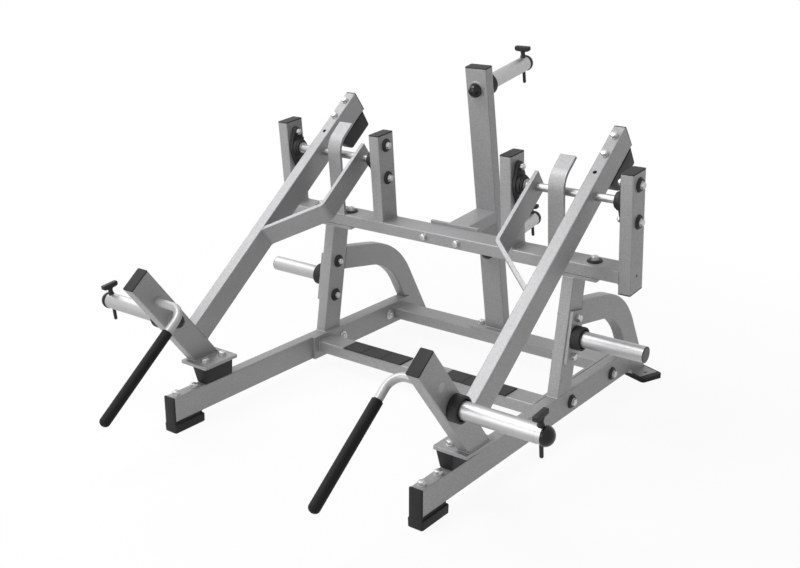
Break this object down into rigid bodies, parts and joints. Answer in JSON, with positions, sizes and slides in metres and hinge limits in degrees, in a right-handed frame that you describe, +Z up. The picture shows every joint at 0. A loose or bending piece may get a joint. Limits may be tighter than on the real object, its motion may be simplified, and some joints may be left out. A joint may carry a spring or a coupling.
{
  "type": "squat and deadlift lever machine",
  "caption": "Plate-loaded squat and deadlift machine: a steel floor frame with a mast and two independent swinging levers with handles.",
  "frame": {"origin": "on the floor at the middle of the outline of the machine at rest", "axes": "+X to the user's side along the crossbeam, +Y from the front shoes to the mast, +Z up"},
  "size_m": [1.635, 1.6874, 1.0823],
  "materials": {
    "silver_paint": "silver powder coat",
    "plated_sleeve": "bright plated tube",
    "handle_steel": "smooth silver coat",
    "shaft_steel": "ground bar",
    "zinc_fastener": "bright zinc",
    "black_casting": "black painted casting",
    "black_pin": "black",
    "grip_rubber": "matt",
    "tread_rubber": "matt",
    "black_washer": "satin black",
    "cap_plastic": "moulded black",
    "collar_rubber": "moulded black",
    "block_rubber": "moulded black"
  },
  "bodies": {
    "frame": {"left_base_rail": "silver_paint", "right_base_rail": "silver_paint", "left_front_shoe": "block_rubber", "right_front_shoe": "block_rubber", "front_crossbar": "silver_paint", "rear_crossbar": "silver_paint", "side_plates": "silver_paint", "left_tread": "tread_rubber", "right_tread": "tread_rubber", "left_upright": "silver_paint", "right_upright": "silver_paint", "left_rear_leg": "silver_paint", "right_rear_leg": "silver_paint", "left_rear_pad": "block_rubber", "right_rear_pad": "block_rubber", "crossbeam": "silver_paint", "inner_posts": "silver_paint", "outer_posts": "silver_paint", "guard_bars": "silver_paint", "mast_bracket": "silver_paint", "mast": "silver_paint", "mast_horns": "plated_sleeve", "storage_brackets": "silver_paint", "storage_horns": "plated_sleeve", "horn_collars": "collar_rubber", "frame_caps": "cap_plastic", "left_bearings": "black_casting", "right_bearings": "black_casting", "bearing_bolts": "zinc_fastener", "frame_bolts": "zinc_fastener", "frame_washers": "black_washer"},
    "left_lever": {"left_arm": "silver_paint", "left_front_tube": "silver_paint", "left_brace": "silver_paint", "left_shaft": "shaft_steel", "left_handle": "handle_steel", "left_grip": "grip_rubber", "left_horn": "plated_sleeve", "left_horn_collar": "collar_rubber", "left_bumper": "block_rubber", "left_stop_block": "block_rubber", "left_lever_caps": "cap_plastic", "left_lever_bolts": "zinc_fastener"},
    "right_lever": {"right_arm": "silver_paint", "right_front_tube": "silver_paint", "right_brace": "silver_paint", "right_shaft": "shaft_steel", "right_handle": "handle_steel", "right_grip": "grip_rubber", "right_horn": "plated_sleeve", "right_horn_collar": "collar_rubber", "right_bumper": "block_rubber", "right_stop_block": "block_rubber", "right_lever_caps": "cap_plastic", "right_lever_bolts": "zinc_fastener"},
    "left_lever_pin": {"left_lever_pin": "black_pin"},
    "right_lever_pin": {"right_lever_pin": "black_pin"},
    "upper_mast_pin": {"upper_mast_pin": "black_pin"},
    "lower_mast_pin": {"lower_mast_pin": "black_pin"}
  },
  "joints": [
    {"name": "right_lever_swing", "type": "hinge", "parent": "frame", "child": "right_lever", "pos_m": [0, 0.25078, 0.73733], "axis": [-1, 0, 0], "range_deg": [0, 81.5]},
    {"name": "left_lever_swing", "type": "hinge", "parent": "frame", "child": "left_lever", "pos_m": [0, 0.25078, 0.73733], "axis": [-1, 0, 0], "range_deg": [0, 81.5]},
    {"name": "right_lever_pin_pull", "type": "slide", "parent": "right_lever", "child": "right_lever_pin", "axis": [0, -0.1149, 0.9934], "range_m": [0, 0.13]},
    {"name": "left_lever_pin_pull", "type": "slide", "parent": "left_lever", "child": "left_lever_pin", "axis": [0, -0.1149, 0.9934], "range_m": [0, 0.13]},
    {"name": "upper_mast_pin_pull", "type": "slide", "parent": "frame", "child": "upper_mast_pin", "axis": [0, -0.1736, 0.9848], "range_m": [0, 0.13]},
    {"name": "lower_mast_pin_pull", "type": "slide", "parent": "frame", "child": "lower_mast_pin", "axis": [0, -0.1736, 0.9848], "range_m": [0, 0.13]}
  ]
}
